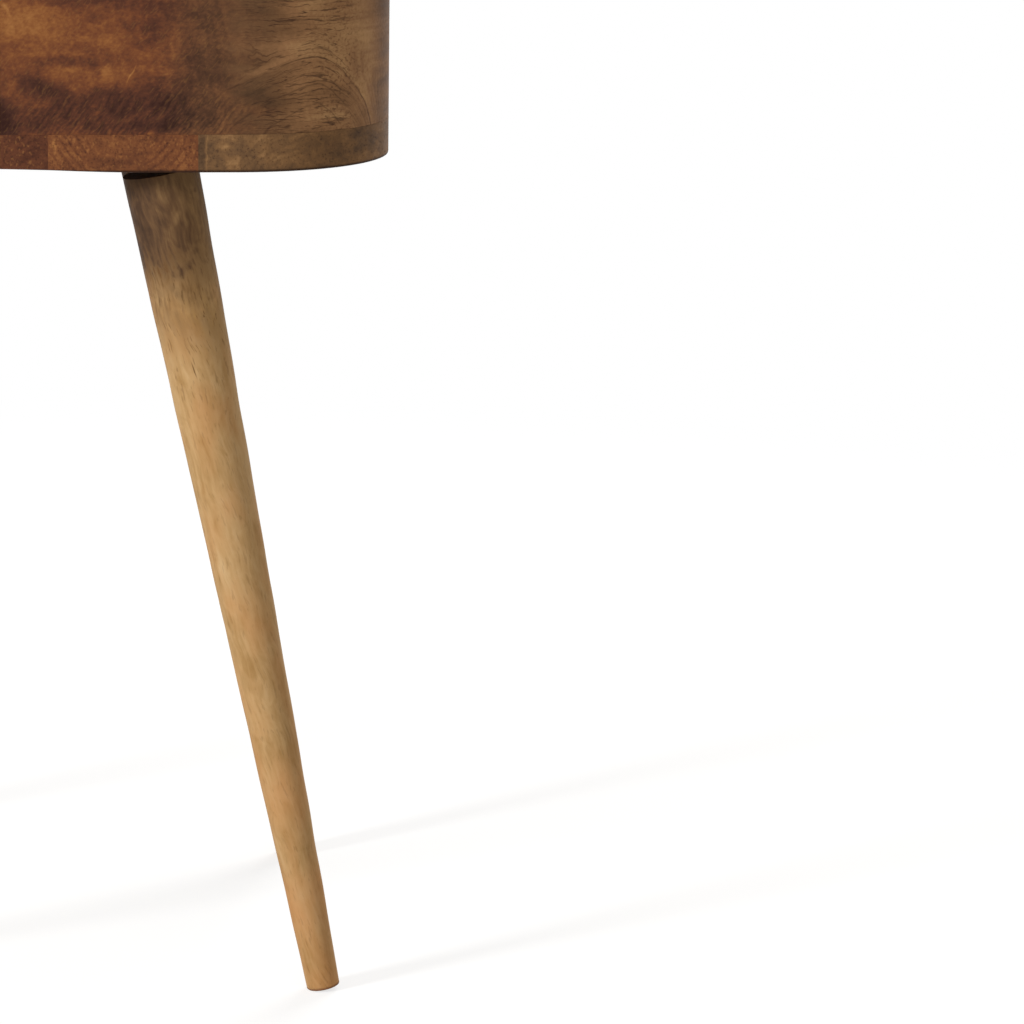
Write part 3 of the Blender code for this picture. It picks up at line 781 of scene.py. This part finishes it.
for seed, (corner, sideX, sideY) in enumerate((("back_left", -1, 1), ("back_right", 1, 1),
                                               ("front_left", -1, -1), ("front_right", 1, -1))):
    makeLeg(corner, sideX, sideY, seed + 31)
print("legs turned")


# Pieces inside: planed wood, steel and brass

inside = {
    "arris": 0.0007,
    "planed": ((0.0, "#8A6A45"), (0.35, "#B08D62"), (0.65, "#C3A378"), (1.0, "#D6BB93")),
    "steel": ((0.0, "#6E6F72"), (0.5, "#8E8F92"), (1.0, "#B4B5B8")),
    "brass": ((0.0, "#7A5E2C"), (0.5, "#A8863F"), (1.0, "#CBAA5F")),
}


def makePlanedFinish(name, axis, seed):
    scales = {0: (9, 420, 420), 1: (420, 9, 420), 2: (420, 420, 9)}
    pores = {0: (110, 1000, 1000), 1: (1000, 110, 1000), 2: (1000, 1000, 110)}
    shift = (seed * 1.3, seed * 2.1, seed * 0.9)

    def build(tree):
        solid = put(tree, "TexCoord").outputs["Object"]
        bent = wandered(tree, solid, 20, 0.010, shift)
        grain = cloud(tree, bent, scales[axis], shift, 3)
        broad = cloud(tree, solid, tuple(s / 8 for s in scales[axis]), shift, 3)
        specks = cloud(tree, solid, pores[axis], shift, 1)
        tone = addUp(tree, 0.52, [(grain, 0.5, 0.5), (broad, 0.5, 0.5), (specks, 0.2, 0.5)])
        colour = ramp(tree, tone, inside["planed"])
        rough = addUp(tree, 0.62, [(grain, 0.2, 0.5), (specks, -0.2, 0.5)])
        height = addUp(tree, 0.5, [(grain, 0.4, 0.5), (specks, 0.4, 0.5)])
        return colour, rough, height

    return makeFinish(name, build)


def makeMetalFinish(name, stops, seed):
    shift = (seed, seed * 2.0, seed * 3.0)

    def build(tree):
        solid = put(tree, "TexCoord").outputs["Object"]
        wear = cloud(tree, solid, (420,) * 3, shift, 3)
        scratches = cloud(tree, solid, (300, 300, 2600), shift, 2)
        tone = addUp(tree, 0.5, [(wear, 0.7, 0.5), (scratches, 0.4, 0.5)])
        rough = addUp(tree, 0.34, [(wear, 0.3, 0.5), (scratches, 0.2, 0.5)])
        return ramp(tree, tone, inside[stops]), rough, scratches

    return makeFinish(name, build, specular=0.5, bump=0.15, depth=0.0001, metallic=1.0)


def dress(name, finish):
    for slot in nodes[name].material_slots:
        slot.material = finish


def makeInside():
    alongX = makePlanedFinish("planedWoodAcross", 0, 41)
    alongY = makePlanedFinish("planedWoodAlong", 1, 42)
    alongZ = makePlanedFinish("dowelWood", 2, 43)
    steel = makeMetalFinish("zincSteel", "steel", 44)
    brass = makeMetalFinish("insertBrass", "brass", 45)
    eased = {"drawer_side_left": alongY, "drawer_side_right": alongY, "drawer_back": alongX,
             "drawer_bottom": alongX, "drawer_runner_left": alongY, "drawer_runner_right": alongY,
             "drawer_kicker_left": alongY, "drawer_kicker_right": alongY,
             "drawer_guide_left": alongY, "drawer_guide_right": alongY, "drawer_stop": alongX}
    for name, finish in eased.items():
        bm = mergedCopy(name)
        low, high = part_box(name)
        ease(bm, inside["arris"], lambda e: all(
            sum(abs(v.co[a] - low[a]) < glueGap or abs(v.co[a] - high[a]) < glueGap
                for a in range(3)) >= 2 for v in e.verts))
        body = nodes[name]["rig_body"]
        addPiece(name + "_planed", bm, body, finish, (name,))
    for name in nodes:
        if name.startswith("dowel_"):
            dress(name, alongZ)
        elif "bolt" in name or "screw" in name:
            dress(name, steel)
        elif "insert" in name:
            dress(name, brass)


makeInside()
print("inside pieces made")


# Floor, light and camera

studio = {
    "worldLight": 0.36, "worldTint": (1.0, 0.96, 0.90, 1), "fillTint": (1.0, 0.88, 0.74),
    "keyPower": 116.0, "keySize": 0.7, "keyPlace": (2.9, 2.0, 1.55),
    "fillPower": 20.0, "fillSize": 2.4, "fillPlace": (-1.2, 3.4, 2.2),
    "frontPower": 85.0, "frontSize": 2.2, "frontPlace": (-1.6, -3.0, 2.4),
    "target": (0, 0, 0.35),
    "floorReach": 14.0,
    "floorLit": 0.62,                        # how pale the floor is to the object
    "floorSeen": 0.34, "floorGlow": 0.72,    # and to the camera, near the object
    "shadowNear": 0.7, "shadowReach": 1.6,   # between these the seen floor fades to white
    "lens": 169.12, "cameraPlace": (0.0, 2.675, 0.8148),
    "yaw": math.radians(6.522), "pitch": math.radians(12.069), "roll": math.radians(0.785),
}


def addLamp(name, place, target, size, power, tint=(1, 1, 1)):
    lamp = bpy.data.lights.new(name, "AREA")
    lamp.shape = "DISK"
    lamp.size = size
    lamp.energy = power
    lamp.color = tint
    holder = bpy.data.objects.new(name, lamp)
    holder.location = place
    holder.rotation_euler = (Vector(target) - Vector(place)).to_track_quat("-Z", "Y").to_euler()
    scene.collection.objects.link(holder)


def backgroundRays(tree):
    # 1 for the rays that see the background itself: the camera's, glossy and transmitted ones
    rays = put(tree, "LightPath").outputs
    return calc(tree, "MAXIMUM", calc(tree, "MAXIMUM", rays[0], rays[3]), rays[6])


def makeStudio():
    world = bpy.data.worlds.new("studio")
    scene.world = world
    world.use_nodes = True
    tree = world.node_tree
    back = tree.nodes["Background"]
    direct = backgroundRays(tree)
    strength = calc(tree, "MULTIPLY_ADD", direct, 1.0 - studio["worldLight"],
                    studio["worldLight"])
    tree.links.new(strength, back.inputs["Strength"])
    tree.links.new(mixColour(tree, direct, studio["worldTint"], (1, 1, 1, 1)),
                   back.inputs["Color"])

    bm = bmesh.new()
    bmesh.ops.create_circle(bm, cap_ends=True, segments=96, radius=studio["floorReach"])
    mesh = bpy.data.meshes.new("floor")
    bm.to_mesh(mesh)
    bm.free()
    floor = bpy.data.objects.new("floor", mesh)
    scene.collection.objects.link(floor)
    paper = bpy.data.materials.new("paleFloor")
    paper.use_nodes = True
    tree = paper.node_tree
    shader = tree.nodes["Principled BSDF"]
    shader.inputs["Roughness"].default_value = 0.9
    shader.inputs["Specular IOR Level"].default_value = 0.0
    shader.inputs["Base Color"].default_value = (studio["floorLit"],) * 3 + (1,)
    seenPaper = put(tree, "BsdfDiffuse", {"Color": (studio["floorSeen"],) * 3 + (1,)})
    place = put(tree, "TexCoord").outputs["Object"]
    away = put(tree, "VectorMath", {0: place}, operation="LENGTH").outputs[1]
    glow = put(tree, "Emission", {"Strength": 1.0})
    near = put(tree, "Emission", {"Strength": studio["floorGlow"]})
    both = put(tree, "AddShader", {0: seenPaper.outputs[0], 1: near.outputs[0]})
    faded = smoothStep(tree, away, studio["shadowNear"], studio["shadowReach"])
    fade = put(tree, "MixShader", {0: faded, 1: both.outputs[0], 2: glow.outputs[0]})
    direct = backgroundRays(tree)
    out = tree.nodes["Material Output"]
    last = put(tree, "MixShader", {0: direct, 1: shader.outputs[0], 2: fade.outputs[0]})
    tree.links.new(last.outputs[0], out.inputs[0])
    mesh.materials.append(paper)

    target = studio["target"]
    addLamp("key", studio["keyPlace"], target, studio["keySize"], studio["keyPower"])
    addLamp("fill", studio["fillPlace"], target, studio["fillSize"], studio["fillPower"],
            studio["fillTint"])
    addLamp("front", studio["frontPlace"], target, studio["frontSize"], studio["frontPower"])


def makeCamera():
    yaw, pitch = studio["yaw"], studio["pitch"]
    lens = bpy.data.cameras.new("camera")
    lens.lens = studio["lens"]
    lens.sensor_width = 36
    camera = bpy.data.objects.new("camera", lens)
    scene.collection.objects.link(camera)
    forward = Vector((-math.sin(yaw) * math.cos(pitch), -math.cos(yaw) * math.cos(pitch),
                      -math.sin(pitch)))
    camera.rotation_mode = "QUATERNION"
    camera.rotation_quaternion = (forward.to_track_quat("-Z", "Y")
                                  @ Quaternion((0, 0, 1), studio["roll"]))
    camera.location = studio["cameraPlace"]
    scene.camera = camera


makeStudio()
makeCamera()
scene.view_settings.view_transform = "Standard"
print("floor, lights and camera set")
